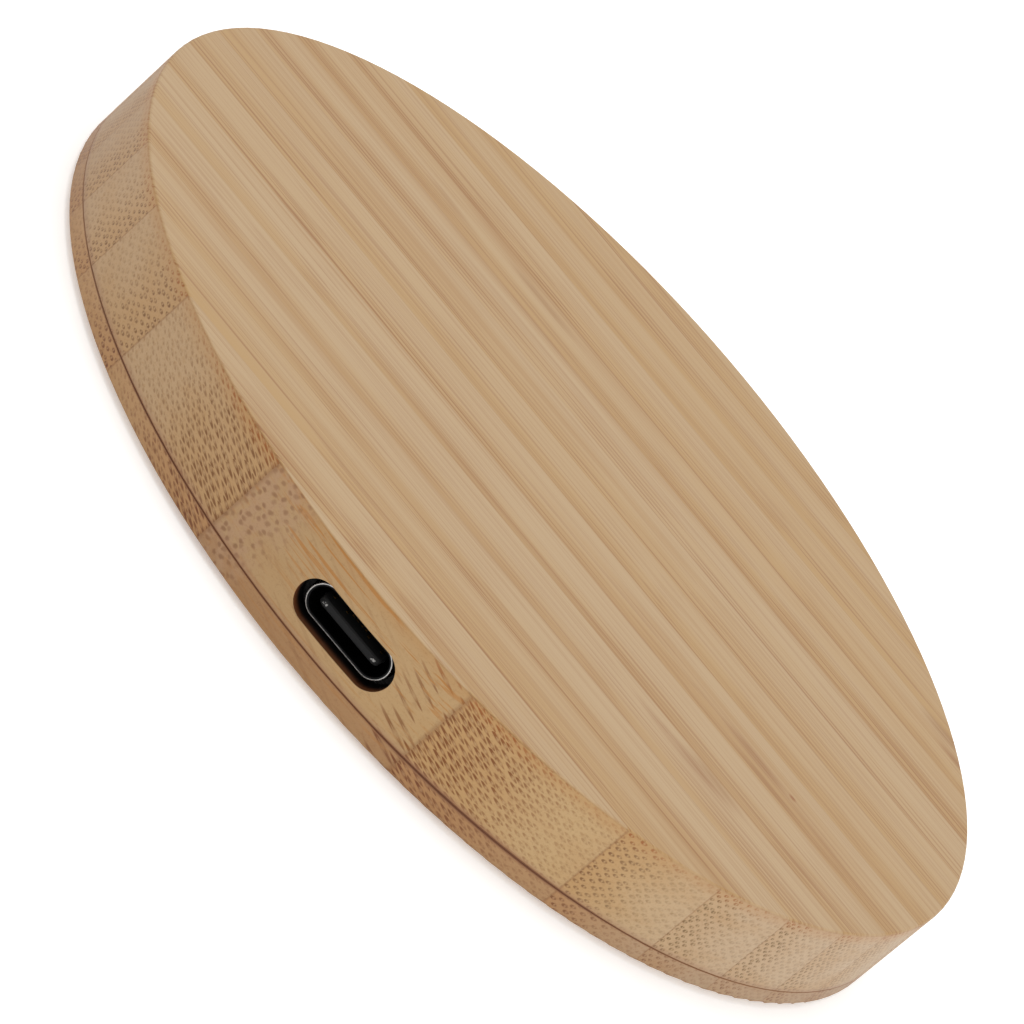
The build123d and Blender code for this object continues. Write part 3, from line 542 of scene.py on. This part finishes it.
def receptacle_steel():
    """Steel coloured near black, with a painted highlight along its front edge, where the cut metal is partly
    bare, and painted glints at the tongue's two prongs.
    """
    g = Graph("receptacle_steel")
    x, y, z = g.place()
    scuff_and_glint = g.noise(g.vector(g.mul(x, 1.2), g.mul(y, 2.0), g.mul(z, 1.2)), scale=4.0, detail=3.0)

    # How far the point is from the middle line of the receptacle's racetrack
    past = g.sub(g.math("ABSOLUTE", x), (RECEPTACLE_WIDTH - RECEPTACLE_HEIGHT) / 2)
    past = g.math("MAXIMUM", past, 0.0)
    up = g.sub(z, INLET_Z)
    reach = g.math("SQRT", g.add(g.mul(past, past), g.mul(up, up)))

    outer = RECEPTACLE_HEIGHT / 2
    # Painted highlight along the front edge, where the cut metal is partly bare, and painted glints near the
    # prongs
    at_front = g.spread(y, RIM_Y + 0.06, RIM_Y + 0.14, 1.0, 0.0)
    edge = g.mul(g.spread(reach, outer - 0.15, outer - 0.08), at_front, g.spread(scuff_and_glint, 0.25, 0.5, 0.55, 1.0))
    near_front = g.spread(y, RIM_Y + 0.5, RIM_Y + 0.7, 1.0, 0.0)
    prong_glint = g.mul(g.spread(scuff_and_glint, 0.42, 0.55), g.spread(reach, 0.15, 0.4, 1.0, 0.0), near_front)
    cut_edge_and_highlight = g.math("MAXIMUM", edge, g.mul(prong_glint, 0.4))
    g.bump(scuff_and_glint, 0.004)
    return g.finish(
        Base_Color=g.mix(cut_edge_and_highlight, srgb(16, 16, 17), srgb(206, 204, 200)),
        Metallic=0.9,
        Roughness=g.math("MULTIPLY_ADD", scuff_and_glint, 0.2, 0.3),
    )


# Mottled materials: colour, other colour, grain, metallic, roughness and how much rougher, and bump
MOTTLED = {
    "foot_film": (srgb(206, 202, 186), srgb(188, 182, 164), 1.2, 0.0, 0.35, 0.2, 0.01),
    "zinc_steel": (srgb(186, 188, 190), srgb(150, 152, 156), 0.5, 1.0, 0.25, 0.25, 0.008, (1, 1, 0.3)),
    # Painted shade: the tongue is darker than black plastic, for the shade inside the port
    "tongue_plastic": (srgb(3, 3, 4), srgb(7, 7, 7), 0.3, 0.0, 0.75, 0.2, 0.01),
    # Painted shade: the gold contacts are darkened, for the shade inside the port
    "gold_contact": (srgb(126, 94, 42), srgb(92, 66, 28), 0.3, 1.0, 0.35, 0.2, 0.004),
    "chip_mould": (srgb(32, 32, 34), srgb(46, 46, 48), 0.15, 0.0, 0.5, 0.25, 0.012),
    "capacitor_ceramic": (srgb(152, 116, 78), srgb(126, 92, 58), 0.25, 0.0, 0.35, 0.2, 0.008),
    "resistor_body": (srgb(26, 26, 30), srgb(44, 44, 50), 0.2, 0.0, 0.25, 0.2, 0.006),
    "lamp_resin": (srgb(230, 226, 196), srgb(214, 206, 168), 0.3, 0.0, 0.15, 0.15, 0.004),
    "choke_ferrite": (srgb(50, 50, 53), srgb(72, 72, 75), 0.2, 0.0, 0.55, 0.2, 0.02),
    "solder": (srgb(190, 192, 194), srgb(160, 162, 166), 0.4, 1.0, 0.18, 0.25, 0.015),
    "adhesive_tape": (srgb(196, 190, 168), srgb(176, 168, 142), 1.0, 0.0, 0.5, 0.2, 0.01, (3, 0.5, 1)),
    "shield_ferrite": (srgb(62, 60, 60), srgb(82, 80, 79), 0.4, 0.0, 0.6, 0.2, 0.02),
    "bead_epoxy": (srgb(46, 28, 22), srgb(66, 40, 30), 0.3, 0.0, 0.15, 0.15, 0.01),
    "thin_wire": (srgb(176, 34, 28), srgb(150, 26, 22), 0.5, 0.0, 0.35, 0.2, 0.006),
    "amber_film": (srgb(196, 126, 36), srgb(172, 104, 24), 1.0, 0.0, 0.2, 0.2, 0.006),
}

MATERIALS = {
    "bamboo_shell": bamboo("bamboo_shell", SHELL_TONES, 11.0, SEAM_Z - 1.0, TOP_Z - 0.6, FACE_NODES),
    "bamboo_plate": bamboo("bamboo_plate", PLATE_TONES, 47.0, plate_low.z + 0.6, TOP_Z),
    "silicone": silicone(),
    "receptacle_steel": receptacle_steel(),
    "solder_mask": solder_mask(),
    "litz_wire": litz_wire(),
    "wire_sleeve": wire_sleeve(),
    **{name: speckled(name, *values) for name, values in MOTTLED.items()},
}


def paint():
    """Every node wears the material that its slot in the record names."""
    slots = {s["node"]: s["material_slot"] for s in frame["record"]["subparts"]}
    for node, obj in frame["nodes"].items():
        obj.data.materials.clear()
        obj.data.materials.append(MATERIALS[slots[node]])


def camera():
    """The camera circles the pad's middle, then rolls, pans and tilts."""
    cos_e, sin_e = math.cos(CAMERA_ELEVATION), math.sin(CAMERA_ELEVATION)
    back = Vector((0, -cos_e, sin_e))
    looking = Matrix(((1, 0, 0), (0, sin_e, cos_e), back))
    roll = Matrix.Rotation(-CAMERA_ROLL, 3, "Z")
    pan = Matrix.Rotation(CAMERA_PAN, 3, "Y")
    tilt = Matrix.Rotation(CAMERA_TILT, 3, "X")
    axes = (tilt @ pan @ roll @ looking).transposed()
    around = Matrix.Rotation(CAMERA_AZIMUTH, 4, "Z")
    data = bpy.data.cameras.new("camera")
    data.lens = CAMERA_LENS
    data.sensor_width = CAMERA_SENSOR
    data.clip_start = 0.01
    obj = bpy.data.objects.new("camera", data)
    bpy.context.scene.collection.objects.link(obj)
    middle = Vector((0, 0, (plate_low.z + TOP_Z) / 2 * MM))
    obj.matrix_world = (
        Matrix.Translation(middle) @ around @ Matrix.Translation(back * CAMERA_DISTANCE) @ axes.to_4x4()
    )
    bpy.context.scene.camera = obj


def floor():
    """A pale floor that glows a little, so that the pad's shadow on it stays faint."""
    g = Graph("floor")
    x, y, _ = g.place()
    mottle = g.noise(g.vector(g.mul(x, 0.02), g.mul(y, 0.02)), detail=2.0)
    tone = g.mix(mottle, (0.90, 0.90, 0.895, 1), (0.92, 0.92, 0.915, 1))
    material = g.finish(
        Base_Color=tone,
        Roughness=0.9,
        Specular_IOR_Level=0.1,
        Emission_Color=(1.0, 1.0, 1.0, 1.0),
        Emission_Strength=0.36,
    )
    bpy.ops.mesh.primitive_plane_add(size=8.0, location=(0, 0, 0))
    obj = bpy.context.object
    obj.name = "floor"
    obj.data.materials.append(material)


def light(name, place, size, watts):
    """A square lamp that faces the pad."""
    data = bpy.data.lights.new(name, "AREA")
    data.size = size
    data.energy = watts
    obj = bpy.data.objects.new(name, data)
    bpy.context.scene.collection.objects.link(obj)
    obj.location = place
    obj.rotation_euler = (-Vector(place)).to_track_quat("-Z", "Y").to_euler()


def studio():
    """Even light all round, a soft lamp overhead and another low at the right."""
    world = bpy.data.worlds.new("studio")
    world.use_nodes = True
    world.node_tree.nodes["Background"].inputs["Color"].default_value = (1, 1, 1, 1)
    world.node_tree.nodes["Background"].inputs["Strength"].default_value = 0.78
    bpy.context.scene.world = world
    light("key", (-0.2, 0.5, 1.3), 1.2, 8.4)
    light("side", (1.2, -0.7, 0.45), 0.9, 5.0)
    bpy.context.scene.view_settings.view_transform = "Standard"
    bpy.context.scene.view_settings.look = "None"


paint()
camera()
floor()
studio()
